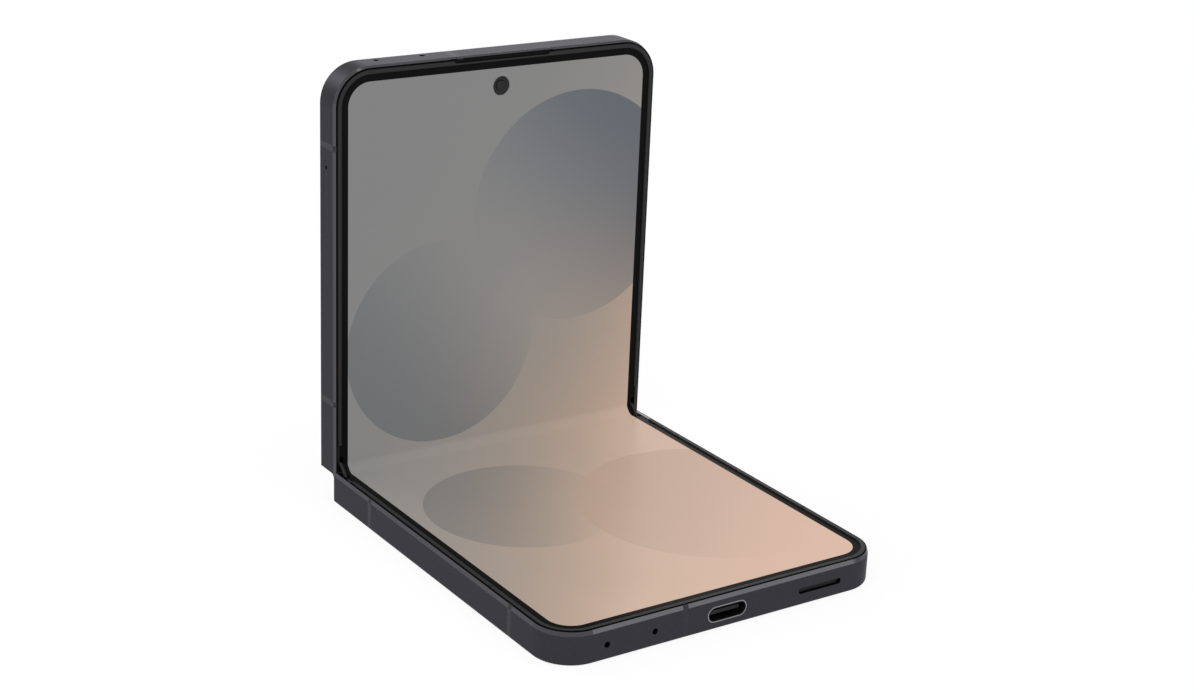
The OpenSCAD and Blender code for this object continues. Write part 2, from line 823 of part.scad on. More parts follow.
// Gear across the module's middle; phase turns it about its shaft, seen along x
module gear_at(y, phase) {
    translate([0, y, shaft_z]) rotate([phase, 0, 0]) along_x(-gear_w / 2, gear_w / 2)
        gear_outline();
}

// Swing arm of the upper side in the flat phone: gear, shaft, hub, lever and guide pin
module flat_arm(phase) {
    gear_at(outer_shaft_y, phase);
    shaft_at(outer_shaft_y, -gear_end_x, module_end_x, shaft_r);
    shaft_at(outer_shaft_y, arm_x, arm_x + arm_w, hub_r);
    block([arm_x, outer_shaft_y, arm_bottom_z], [arm_x + arm_w, arm_reach, arm_top_z]);
    translate([arm_x, arm_reach, pin_z]) rotate([0, 90, 0]) cylinder(r = pin_boss_r, h = arm_w);
    translate([arm_x - pin_l, arm_reach, pin_z]) rotate([0, 90, 0])
        cylinder(r = pin_r, h = arm_w + 2 * pin_l);
}

// Turns a piece of the flat phone about one gear shaft
module about_shaft(y, angle) {
    translate([0, y, shaft_z]) rotate([angle, 0, 0]) translate([0, -y, -shaft_z]) children();
}

module upper_hinge_arms() {
    color(steel) place_spine() at_modules()
        about_shaft(outer_shaft_y, fold) flat_arm(half_pitch);
}

module lower_hinge_arms() {
    color(steel) place_spine() at_modules()
        about_shaft(-outer_shaft_y, -fold) mirror([0, 1, 0]) flat_arm(0);
}

module idler(y, phase) {
    gear_at(y, phase);
    shaft_at(y, -gear_end_x, gear_end_x, idler_shaft_r);
}

module lower_idler_gears() {
    color(gold) place_spine() at_modules() idler(-inner_shaft_y, half_pitch + fold);
}

module upper_idler_gears() {
    color(gold) place_spine() at_modules() idler(inner_shaft_y, -fold);
}

// Width of a hinge bracket, across the phone
function bracket_x0() = module_x + arm_x - 0.05 - cheek_w;
function bracket_x1() = module_x + arm_x + arm_w + 0.05 + cheek_w;
function bracket_screw_x() = [bracket_x0() + screw_edge, bracket_x1() - screw_edge];

// Arc slot for the guide pin, drawn in (y, z)
module pin_slot() {
    r = pin_r + run_fit;
    turn = 2 * pin_swing + 4;
    start = slide_angle + 2;
    intersection() {
        translate(slide_centre) difference() {
            circle(slide_r + r);
            circle(slide_r - r);
        }
        translate(slide_centre) polygon([
            [0, 0], 4 * [cos(start), sin(start)],
            5 * [cos(start - turn / 2), sin(start - turn / 2)],
            4 * [cos(start - turn), sin(start - turn)]]);
    }
    for (a = [start, start - turn])
        translate(slide_centre + slide_r * [cos(a), sin(a)]) circle(r);
}

// Bracket that each half guides the swing arm with: two cheeks on a screwed floor
module hinge_bracket() {
    floor_low = bracket_floor_z - bracket_floor_t;
    cheek_y = axis_offset + cavity_r + 0.02;
    difference() {
        union() {
            block([bracket_x0(), cheek_y, floor_low], [bracket_x1(), bracket_end_y, bracket_floor_z]);
            for (x = [bracket_x0(), bracket_x1() - cheek_w])
                block([x, cheek_y, floor_low], [x + cheek_w, 9.4, inside_top - fit]);
        }
        along_x(bracket_x0() - cut, bracket_x1() + cut) pin_slot();
        for (x = bracket_screw_x())
            translate([x, bracket_screw_y, -6]) cylinder(r = screw_r + fit, h = 4);
    }
}

module hinge_brackets() {
    both_sides() hinge_bracket();
}

module bracket_screws() {
    both_sides() for (x = bracket_screw_x())
        translate([x, bracket_screw_y, bracket_floor_z]) screw(1.6);
}

module lower_hinge_brackets() { color(grey) place_lower() hinge_brackets(); }
module upper_hinge_brackets() { color(grey) place_upper() hinge_brackets(); }
module lower_bracket_screws() { color(steel) place_lower() bracket_screws(); }
module upper_bracket_screws() { color(steel) place_upper() bracket_screws(); }

// ---------------------------------------------------------------- bending pieces

module display_fold_zone() {
    color(screen_grey) place_spine() along_x(-fold_half_w, fold_half_w)
        sheet_profile(fold_y - fit, 0, -panel_t);
}

// Steel sheet under the bend, slotted so that it bends with the display
module fold_support_lattice() {
    lattice_w = fold_half_w - 0.5;
    slot_pitch = 2 * lattice_w / 11.7;
    color(steel) place_spine() difference() {
        along_x(-lattice_w, lattice_w) sheet_profile(fold_y - fit, -panel_t - 0.01, plate_z);
        for (row = [-2:2], k = [-5:5])
            translate([(k + (row % 2 == 0 ? 0 : 0.5)) * slot_pitch - slot_pitch / 4, row * 0.8, 0])
                cube([slot_pitch - 1.2, 0.25, 4], center = true);
    }
}

module hinge_flex_cable() {
    color(gold) place_spine() {
        along_x(-cable_w / 2, cable_w / 2) sheet_profile(cable_y, cable_z, cable_z - cable_t);
        translate([0, axis_offset, axis_z]) rotate([fold, 0, 0])
            translate([0, -axis_offset, -axis_z]) cable_tail();
        mirror([0, 1, 0]) translate([0, axis_offset, axis_z]) rotate([fold, 0, 0])
            translate([0, -axis_offset, -axis_z]) cable_tail();
    }
}

// Straight end of the flat cable inside a half
module cable_tail() {
    block([-cable_w / 2, cable_y, cable_z - cable_t], [cable_w / 2, cable_end_y, cable_z]);
}

// ---------------------------------------------------------------- inside the lower half

module magnet_pockets() {
    both_sides() translate([half_w - magnet_side, half_l - magnet_end, plate_z - magnet_t])
        cylinder(r = magnet_r + fit, h = cut);
}

module magnets() {
    both_sides() translate([half_w - magnet_side, half_l - magnet_end, plate_z - magnet_t])
        cylinder(r = magnet_r, h = magnet_t);
}

module lower_magnets() { color(steel) place_lower() magnets(); }
module upper_magnets() { color(steel) place_upper() magnets(); }

// Battery pouch with rounded long edges and a folded seal
module battery(x0, x1, y0, y1) {
    mid = [(x0 + x1) / 2, (y0 + y1) / 2];
    translate([mid[0], mid[1], 0]) {
        layer(battery_bottom_z, battery_top_z) round_rect(x1 - x0, y1 - y0, 1.6);
        translate([0, (y1 - y0) / 2 - fit, 0]) layer(battery_top_z - 1.2, battery_top_z - 0.3)
            translate([-(x1 - x0) / 2 + 2, 0]) square([x1 - x0 - 4, 1.4]);
    }
}
module lower_battery() {
    color([0.12, 0.12, 0.13]) place_lower()
        battery(-battery_side, battery_side, battery_y0, lower_battery_y1);
}

// Board with the charging socket, notched for its tube
module sub_board() {
    x0 = -battery_side;
    x1 = speaker_box_x0 - 0.8;
    y1 = half_l - wall - 1.2;
    color(board_green) place_lower() difference() {
        layer(sub_board_z, sub_board_z + board_t) {
            translate([x0, sub_board_y0]) square([x1 - x0, 10]);
            translate([x0 + 4, sub_board_y0 + cut]) square([x1 - x0 - 4, y1 - sub_board_y0 - cut]);
        }
        translate([motor_x, motor_y, -10]) cylinder(r = motor_r + 0.2, h = 20);
        block([-usb_w / 2 - fit, usb_y - usb_l - fit, -10], [usb_w / 2 + fit, half_l, 0]);
    }
}

// Stamped tube of the charging socket, open at the frame's outside
module usb_c_shell() {
    color(steel) place_lower() translate([0, usb_y, port_z]) rotate([90, 0, 0]) difference() {
        linear_extrude(usb_l) round_slot(usb_w, usb_h);
        translate([0, 0, -cut]) linear_extrude(usb_l + cut - usb_wall)
            round_slot(usb_w - 2 * usb_wall, usb_h - 2 * usb_wall);
    }
}

module usb_c_tongue() {
    y0 = usb_y - usb_l + usb_wall;
    root_w = usb_tongue_w / 2 + 0.2;
    color(black) place_lower() {
        block([-usb_tongue_w / 2, y0, port_z - usb_tongue_t / 2],
              [usb_tongue_w / 2, half_l - 1, port_z + usb_tongue_t / 2]);
        block([-root_w, y0, port_z - 1.2], [root_w, y0 + 1.2, port_z + 1.2]);
    }
}

// Loudspeaker box with its sound duct towards the slot
module loudspeaker() {
    x1 = battery_side;
    y1 = half_l - wall - 0.9;
    color(black) place_lower() {
        layer(inside_bottom + 0.5, inside_top - 0.3) difference() {
            translate([speaker_box_x0, sub_board_y0])
                square([x1 - speaker_box_x0, y1 - sub_board_y0]);
            translate([x1 - 5, y1 - 5]) difference() {
                square(6);
                circle(5);
            }
        }
        block([speaker_x - speaker_slot_l / 2 + 0.3, y1 - fit, port_z - 1],
              [speaker_x + speaker_slot_l / 2 - 0.3, half_l - wall - 0.02, port_z + 1]);
    }
}

// Fine mesh inside the loudspeaker slot
module loudspeaker_mesh() {
    color([0.1, 0.1, 0.1]) place_lower() translate([speaker_x, half_l - 0.7, port_z])
        rotate([90, 0, 0]) linear_extrude(0.3)
            round_slot(speaker_slot_l - 2 * fit, speaker_slot_h - 2 * fit);
}

// Microphone can with its sound hole towards the frame
module microphone(x, z) {
    y1 = half_l - wall - fit;
    difference() {
        block([x - 1.5, y1 - 2.6, z - 0.9], [x + 1.5, y1, z + 0.9]);
        translate([x, half_l, z]) rotate([90, 0, 0]) cylinder(r = 0.35, h = 4 - 1.2);
    }
}

module bottom_microphones() {
    color(gold) place_lower() for (x = lower_mic_x) microphone(x, port_z + 0.05);
}

module top_microphones() {
    color(gold) place_upper() for (x = upper_mic_x) microphone(x, upper_mic_z);
}

// Round vibration motor in the sub board's opening
module vibration_motor() {
    color(steel) place_lower() translate([motor_x, motor_y, sub_board_z]) {
        cylinder(r = motor_r, h = 3);
        translate([0, 0, 3 - fit]) cylinder(r = 1.4, h = 0.35);
    }
}

// Flat wound coil for wireless charging on a ferrite sheet, under the back glass
module charging_coil() {
    color(gold) place_lower() translate([0, coil_y, inside_bottom]) difference() {
        cylinder(r = coil_r, h = 0.35, $fn = 96);
        translate([0, 0, -cut]) cylinder(r = coil_r / 2, h = 3, $fn = 96);
    }
}

// Soft stops near the far corners that keep the rims apart when shut
module lower_rubber_stops() {
    color(black) place_lower() both_sides()
        translate([half_w - rim_inset - rim_w / 2, half_l - 24, rim_h]) cylinder(r = 0.35, h = 0.08);
}

// ---------------------------------------------------------------- inside the upper half

// Lit panel behind the upper half's glass, stepped clear of the cameras
module cover_display_outline(play) {
    difference() {
        translate([0, (cover_y0 + cover_y1) / 2])
            round_rect(phone_w - 2 * (cover_inset - play), cover_y1 - cover_y0 + 2 * play, 3);
        translate([flash_x - 5 + play, lens_y - lens_ring_r - 1.6 + play]) square([60, 20]);
    }
}
module cover_display() {
    color([0.02, 0.02, 0.03]) place_upper() layer(glass_z + 0.02, glass_z + 0.02 + cover_t)
        cover_display_outline(0);
}

// Front camera under the display's round opening
module selfie_camera() {
    color([0.03, 0.03, 0.04]) place_upper() translate([0, selfie_y, 0]) {
        translate([0, 0, -0.35]) cylinder(r = 1, h = 0.05);
        difference() {
            translate([0, 0, -2.2]) cylinder(r = selfie_r - 0.06, h = 1.9);
            translate([0, 0, -0.75]) cylinder(r1 = 0.55, r2 = 1.35, h = 0.46);
        }
        layer(-4.6, -2.2 + 0.01) square([selfie_body_w, selfie_body_w], center = true);
    }
}

// Camera modules behind the lens rings
module rear_cameras() {
    color(black) place_upper() for (x = lens_x) translate([x, lens_y, 0]) {
        layer(glass_z + 0.3, inside_top - 0.15) square([camera_w, camera_w], center = true);
        rotate([180, 0, 0]) camera_barrel();
    }
}

// Barrel under a cover glass: a stepped hood around a domed front lens
module camera_barrel() {
    front = half_t + lens_ring_h - lens_face_t - 0.15;
    floor_z = front - hood_steps * hood_step_h;
    difference() {
        translate([0, 0, half_t - glass_t - 0.5]) cylinder(r = hood_r, h = front - half_t + glass_t + 0.5);
        for (i = [1:hood_steps]) translate([0, 0, front - i * hood_step_h])
            cylinder(r = hood_r - 0.1 - i * hood_step_w, h = hood_step_h + cut);
    }
    translate([0, 0, floor_z - front_lens_drop]) intersection() {
        sphere(front_lens_curve);
        translate([0, 0, front_lens_drop - 0.1]) cylinder(r = front_lens_r, h = front_lens_curve);
    }
}

// Metal rings that stand out of the back round each lens
module lens_rings() {
    color(steel) place_upper() for (x = lens_x) translate([x, lens_y, 0]) rotate([180, 0, 0])
        translate([0, 0, half_t - glass_t]) rotate_extrude() polygon([
            [lens_bore_r - 0.9, 0], [lens_seat_r, 0], [lens_seat_r, glass_t],
            [lens_ring_r, glass_t], [lens_ring_r, glass_t + lens_ring_h - 0.35],
            [lens_ring_r - 0.35, glass_t + lens_ring_h], [lens_bore_r, glass_t + lens_ring_h],
            [lens_bore_r, glass_t + lens_ring_h - 0.75], [lens_bore_r - 0.9, glass_t + lens_ring_h - 0.75]]);
}

module lens_glasses() {
    color([0.04, 0.05, 0.07]) place_upper() for (x = lens_x)
        translate([x, lens_y, -half_t - lens_ring_h + 0.1])
            cylinder(r = lens_bore_r - 0.03, h = lens_face_t);
}

module flash_lens() {
    color([0.95, 0.93, 0.85]) place_upper() translate([flash_x, lens_y, -half_t])
        cylinder(r = flash_r, h = glass_t + 0.4);
}

// Main circuit board: an arm under the cameras and a leg beside the battery
module main_board() {
    color(board_green) place_upper() difference() {
        layer(board_z, board_z + board_t) {
            translate([leg_x0, battery_y0]) square([leg_x1 - leg_x0, board_y1 - battery_y0]);
            translate([arm_board_x0, arm_board_y0])
                square([leg_x0 + cut - arm_board_x0, board_y1 - arm_board_y0]);
        }
        for (p = [[leg_x1 - 2, 18], [leg_x0 + 2, 18], [arm_board_x0 + 2.5, board_y1 - 2]])
            translate([p[0], p[1], -10]) cylinder(r = 0.8, h = 20);
    }
}

// Stamped shields over the chips, on both faces of the board
module shield_cans() {
    leg_l = board_y1 - battery_y0;
    color(steel) place_upper() {
        layer(board_z + board_t, inside_top - 0.15) {
            translate([leg_can_x, battery_y0 + 0.37 * leg_l]) round_rect(leg_can_w, 0.48 * leg_l, 0.6);
            translate([leg_can_x, board_y1 - 0.19 * leg_l]) round_rect(leg_can_w, 0.28 * leg_l, 0.6);
            translate([arm_can_x, arm_can_y]) round_rect(24, 12, 0.6);
        }
        layer(inside_bottom + 0.75, board_z) {
            translate([leg_can_x, battery_y0 + 0.54 * leg_l]) round_rect(leg_can_w, 0.76 * leg_l, 0.6);
            translate([arm_can_x, arm_can_y]) round_rect(24, 12, 0.6);
        }
    }
}

module upper_battery() {
    color([0.12, 0.12, 0.13]) place_upper()
        battery(-battery_side, leg_x0 - 1.2, battery_y0, upper_battery_y1);
}

// Earpiece capsule beside the front camera, behind the slot above the display
module earpiece() {
    color(black) place_upper() layer(-4.2, inside_top - fit)
        translate([(earpiece_x0 + earpiece_x1) / 2, earpiece_mid_y])
            round_rect(earpiece_x1 - earpiece_x0, 6.4, 1);
}

// Woven mesh in the earpiece slot
module earpiece_mesh() {
    color([0.08, 0.08, 0.08]) place_upper() layer(-0.35, -0.1) intersection() {
        earpiece_outline(0.08);
        half_outline(rim_inset - 0.1, 0);
    }
}

// Key with two plungers that reach the switches
module side_button(l) {
    translate([key_back_x, 0, 0]) rotate([90, 0, 90])
        linear_extrude(half_w + key_proud - key_back_x) round_slot(l, key_h);
    for (s = [-1, 1])
        translate([half_w - wall - 0.15, s * plunger_place(l), 0]) rotate([0, 90, 0])
            cylinder(r = plunger_r, h = wall - key_depth + key_travel + 0.3);
}

module side_key() {
    color(metal) place_upper() translate([0, side_key_y, port_z]) side_button(side_key_l);
}

// The rocker tips on a rib across its middle
module volume_rocker() {
    rib_h = key_h - 0.4;
    color(metal) place_upper() translate([0, volume_y, port_z]) {
        side_button(volume_l);
        translate([key_back_x, 0, -rib_h / 2]) cylinder(r = 0.3, h = rib_h);
    }
}

// Flexible strip that carries the dome switches behind the keys
module key_switch_flex() {
    color(gold) place_upper() {
        block([switch_x - 0.35, side_key_y - 8, port_z - 1.2],
              [switch_x - 0.2, volume_y + 8.4, port_z + 1.2]);
        for (p = [[side_key_y, side_key_l], [volume_y, volume_l]], s = [-1, 1])
            translate([switch_x - 0.21, p[0] + s * plunger_place(p[1]), port_z]) rotate([0, 90, 0])
                cylinder(r = 0.9, h = 0.16);
    }
}

// Card tray: a cover flush with the frame and a frame for two cards
module sim_tray() {
    color(metal) place_upper() translate([-half_w, tray_y, port_z]) difference() {
        union() {
            rotate([90, 0, 90]) linear_extrude(1.2) round_slot(tray_l, tray_h);
            block([1.2 - fit, -tray_l / 2 + 1.2, -0.5], [tray_depth, tray_l / 2 - 3.2, 0.5]);
        }
        block([2.2, -tray_l / 2 + 2.2, -0.5 + 0.15], [tray_depth - 1, tray_l / 2 - 4.2, 1]);
        translate([-cut, tray_l / 2 - 1.35, 0]) rotate([0, 90, 0]) cylinder(r = 0.4, h = 4);
    }
}

// Stamped socket that the card tray slides into
module sim_socket() {
    x0 = -half_w + wall + 0.1;
    x1 = -half_w + tray_depth + 0.9;
    y0 = tray_y - tray_l / 2 + 0.4;
    y1 = tray_y + tray_l / 2 - 2.4;
    color(steel) place_upper() difference() {
        block([x0, y0, port_z - 0.85], [x1, y1, port_z + 0.85]);
        block([x0 - cut, tray_y - tray_l / 2 + 1.1, port_z - 0.6],
              [x1 - 0.5, tray_y + tray_l / 2 - 3.1, port_z + 0.6]);
    }
}

// ---------------------------------------------------------------- the whole phone

lower_frame();
lower_back_glass();
lower_bezel_rim();
lower_rim_ends();
lower_display_panel();
lower_support_plate();
lower_antenna_breaks();
lower_battery();
sub_board();
usb_c_shell();
usb_c_tongue();
loudspeaker();
loudspeaker_mesh();
bottom_microphones();
vibration_motor();
charging_coil();
lower_hinge_brackets();
lower_bracket_screws();
lower_magnets();
lower_rubber_stops();
hinge_spine_cover();
hinge_end_caps();
hinge_bases();
hinge_base_screws();
hinge_disc_springs();
display_fold_zone();
fold_support_lattice();
hinge_flex_cable();
lower_hinge_arms();
upper_hinge_arms();
lower_idler_gears();
upper_idler_gears();
upper_frame();
upper_back_glass();
cover_display();
upper_bezel_rim();
upper_rim_ends();
upper_display_panel();
upper_support_plate();
upper_antenna_breaks();
selfie_camera();
rear_cameras();
lens_rings();
lens_glasses();
flash_lens();
main_board();
shield_cans();
upper_battery();
earpiece();
earpiece_mesh();
top_microphones();
upper_hinge_brackets();
upper_bracket_screws();
upper_magnets();
side_key();
volume_rocker();
key_switch_flex();
sim_tray();
sim_socket();
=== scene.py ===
"""Looks of the clamshell phone: screen, bending sheets, finishes, studio and camera."""

import math

import bmesh
import bpy
import numpy as np
from mathutils import Matrix, Vector


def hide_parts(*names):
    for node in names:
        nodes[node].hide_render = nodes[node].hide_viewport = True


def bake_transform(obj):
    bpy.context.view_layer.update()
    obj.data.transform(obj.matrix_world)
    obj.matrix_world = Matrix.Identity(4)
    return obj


MM = 0.001

# Sizes of the phone in millimetres, as in the part's source
phone_w = 75.2
half_l = 84.2
half_t = 6.6
corner_r = 7.8
axis_depth = 0.95
axis_offset = 1.3
edge_depth = 0.7
panel_inset = 1.15
panel_t = 0.55
plate_t = 0.2
fold_half_w = 35.6
selfie_y = 77.5
selfie_r = 2.0
cable_w = 10.0
cable_t = 0.15
cable_z = -1.65
cable_y = 5.6
fold = math.radians(45)

# Rear cameras: their axes across the phone and up the row, and the radius of the front lens
lens_axes = (12.0, 26.6)
lens_height = 78.89
front_lens_r = 2.0
# Depths from the outline between which the gap of the metal lip and the rim is painted black as
# its shade
gap_shade_from = 0.3
gap_shade_to = 0.66
# Depth from the outline at which the black border ends and the picture starts
picture_inset = 3.0
# Length of the flat cable's stiffened end inside a half
cable_tail_l = 4.9
# How much narrower the lattice is than the display, on each side
lattice_inset = 0.5

# Distances from the seam at which the display's strip widens to the panel and starts to bend
fold_y = 3.75
bend_y = 3.0
# Share of the display's wave that is kept over the bend
wave_share = 0.3
# Gap between the display and the lattice under it
sheet_gap = 0.01
# Rows of points that let each sheet bend smoothly
display_rows = 36
lattice_rows = 20
cable_rows = 24
# Columns of the lattice, whose cells make its slots
lattice_columns = 46
# Spans that the picture's flat coordinates cover, across and along the phone
flat_w = 100.0
flat_l = 200.0
# Least distance that tells rows of points apart
hair = 1e-4
# Depths of the finest and of the coarser grain, in metres
fine_grain = 0.00002
coarse_grain = 0.00003
BLACK = (0.0, 0.0, 0.0, 1.0)

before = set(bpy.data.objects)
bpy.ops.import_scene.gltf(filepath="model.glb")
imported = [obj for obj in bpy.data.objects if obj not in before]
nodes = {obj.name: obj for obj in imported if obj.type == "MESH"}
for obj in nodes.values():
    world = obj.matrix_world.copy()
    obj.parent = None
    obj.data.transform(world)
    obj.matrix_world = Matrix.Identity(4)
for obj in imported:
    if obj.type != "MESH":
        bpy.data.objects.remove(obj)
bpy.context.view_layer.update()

# ------------------------------------------------------------------ places


def turned(y, z, angle):
    """Point (y, z) turned about the fold axis of a half."""
    dy, dz = y - axis_offset, z + axis_depth
    c, s = math.cos(angle), math.sin(angle)
    return axis_offset + dy * c - dz * s, -axis_depth + dy * s + dz * c


def half_place(half):
    """Matrix from a half's own frame to the row, in metres.

    A half's own frame has x, the distance from the seam and the height over the display."""
    seam = half_l / 2
    if half == "lower":
        rows = ((1, 0, 0, 0), (0, -1, 0, seam), (0, 0, 1, half_t), (0, 0, 0, 1))
    else:
        # the spine turns about the lower axis, then the half about the upper one
        axis_y = seam - axis_offset + 2 * axis_offset * math.cos(fold)
        axis_z = half_t - axis_depth + 2 * axis_offset * math.sin(fold)
        rows = (
            (1, 0, 0, 0),
            (0, 0, -1, axis_y - axis_depth),
            (0, 1, 0, axis_z - axis_offset),
            (0, 0, 0, 1),
        )
    return Matrix.Scale(MM, 4) @ Matrix(rows)


def in_row(half, x, y, z):
    return half_place(half) @ Vector((x, y, z))


# ------------------------------------------------------------------ shaping helpers


def deselect():
    if bpy.context.object and bpy.context.object.mode != "OBJECT":
        bpy.ops.object.mode_set(mode="OBJECT")
    bpy.ops.object.select_all(action="DESELECT")


def started(name):
    """Names the primitive that was just added and puts its place into its mesh."""
    piece = bpy.context.object
    piece.name = name
    piece.data.name = name
    bpy.ops.object.transform_apply(location=True, rotation=True, scale=True)
    return piece


def pick(piece, test, kind="VERT"):
    """Selects the vertices or faces of a piece that pass a test, in edit mode."""
    bpy.context.view_layer.objects.active = piece
    if piece.mode != "EDIT":
        bpy.ops.object.mode_set(mode="EDIT")
    bpy.ops.mesh.select_mode(type=kind)
    bpy.ops.mesh.select_all(action="DESELECT")
    shape = bmesh.from_edit_mesh(piece.data)
    for part in shape.faces if kind == "FACE" else shape.verts:
        if test(part):
            part.select_set(True)
    shape.select_flush_mode()
    bmesh.update_edit_mesh(piece.data)


def out_of_edit():
    bpy.ops.object.mode_set(mode="OBJECT")


def modify(piece, kind, **settings):
    """Adds a modifier and applies it."""
    bpy.context.view_layer.objects.active = piece
    modifier = piece.modifiers.new(kind.title(), kind)
    for setting, value in settings.items():
        setattr(modifier, setting, value)
    bpy.ops.object.modifier_apply(modifier=modifier.name)


def thicken(piece, thickness):
    """Turns a flat sheet's face up and gives it its thickness downwards."""
    if piece.data.polygons[0].normal.z < 0:
        piece.data.flip_normals()
    modify(piece, "SOLIDIFY", thickness=thickness, offset=-1.0)


def dress(piece, material):
    """Makes a material the only one of a piece."""
    piece.data.materials.clear()
    piece.data.materials.append(material)


def copied(piece, name):
    twin = piece.copy()
    twin.data = piece.data.copy()
    twin.name = name
    twin.data.name = name
    bpy.context.scene.collection.objects.link(twin)
    return twin


def put_in_row(piece, half):
    """Moves a piece drawn in a half's own frame to its place in the row."""
    place = half_place(half)
    piece.data.transform(place)
    if place.determinant() < 0:
        piece.data.flip_normals()
    piece.data.update()


def smooth(piece, degrees=35):
    deselect()
    piece.select_set(True)
    bpy.context.view_layer.objects.active = piece
    bpy.ops.object.shade_smooth_by_angle(angle=math.radians(degrees))


# ------------------------------------------------------------------ bending sheets


def bend(piece, start_y, start_z):
    """Lays a flat sheet over the half-open hinge.

    Each point turns by its share of the fold, which is found by halving."""
    points = np.array([v.co for v in piece.data.vertices], float)
    begin = np.array([start_y, start_z])
    finish = np.array(turned(0, start_z, -fold))
    chord = finish - begin
    low = np.zeros(len(points))
    high = np.ones(len(points))

    def laid(share):
        dy, dz = points[:, 1] - axis_offset, points[:, 2] + axis_depth
        c, s = np.cos(-fold * share), np.sin(-fold * share)
        return np.stack(
            [axis_offset + dy * c - dz * s, -axis_depth + dy * s + dz * c], 1
        )

    for _ in range(40):
        middle = (low + high) / 2
        along = np.clip((laid(middle) - begin) @ chord / (chord @ chord), 0, 1)
        more = along * along * (3 - 2 * along) > middle
        low = np.where(more, middle, low)
        high = np.where(more, high, middle)
    placed = laid(high)
    for v, (y, z) in zip(piece.data.vertices, placed):
        v.co.y, v.co.z = y, z
    piece.data.update()


def hollow(y, z):
    """Point of the display over the bend: a round hollow that meets both halves smoothly."""
    crest_y, crest_z = turned(0, 0, -fold)
    radius = crest_z / (1 - math.cos(fold))
    arc = radius * fold
    tangent_y = crest_y + radius * math.sin(fold)
    along = y * (arc + fold_y - tangent_y) / fold_y
    if along > arc:
        return tangent_y + along - arc, z
    turn = (1 - along / arc) * fold
    return tangent_y - (radius - z) * math.sin(turn), radius - (radius - z) * math.cos(turn)


def bend_display(piece):
    """Rounds the display's bend, and keeps a little of the wave that its spare length makes."""
    flat = [v.co.copy() for v in piece.data.vertices]
    bend(piece, bend_y, 0)
    for v, start in zip(piece.data.vertices, flat):
        if start.y < fold_y:
            y, z = hollow(start.y, start.z)
            v.co.y = wave_share * v.co.y + (1 - wave_share) * y
            v.co.z = wave_share * v.co.z + (1 - wave_share) * z
    piece.data.update()


def follow_fold(piece, half, start_y, start_z):
    """Puts the piece's place into its mesh, the same way for either half."""
    if half == "lower":
        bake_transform(piece)
    else:
        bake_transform(piece)


def strip(name, half_width, end_y, rows, columns=1):
    """Flat strip from the middle of the hinge to end_y, in rows across the phone."""
    deselect()
    bpy.ops.mesh.primitive_grid_add(
        x_subdivisions=columns, y_subdivisions=rows, size=1, location=(0, end_y / 2, 0)
    )
    bpy.context.object.scale = (2 * half_width, end_y, 1)
    return started(name)


# ------------------------------------------------------------------ materials


def linear(level):
    """Screen level, 0 to 255, as the linear value of a shader."""
    level /= 255
    return level / 12.92 if level <= 0.04045 else ((level + 0.055) / 1.055) ** 2.4


def tone(r, g, b):
    """Colour as it is seen on a screen, 0 to 255, as the linear colour that a shader takes."""
    return (linear(r), linear(g), linear(b), 1.0)


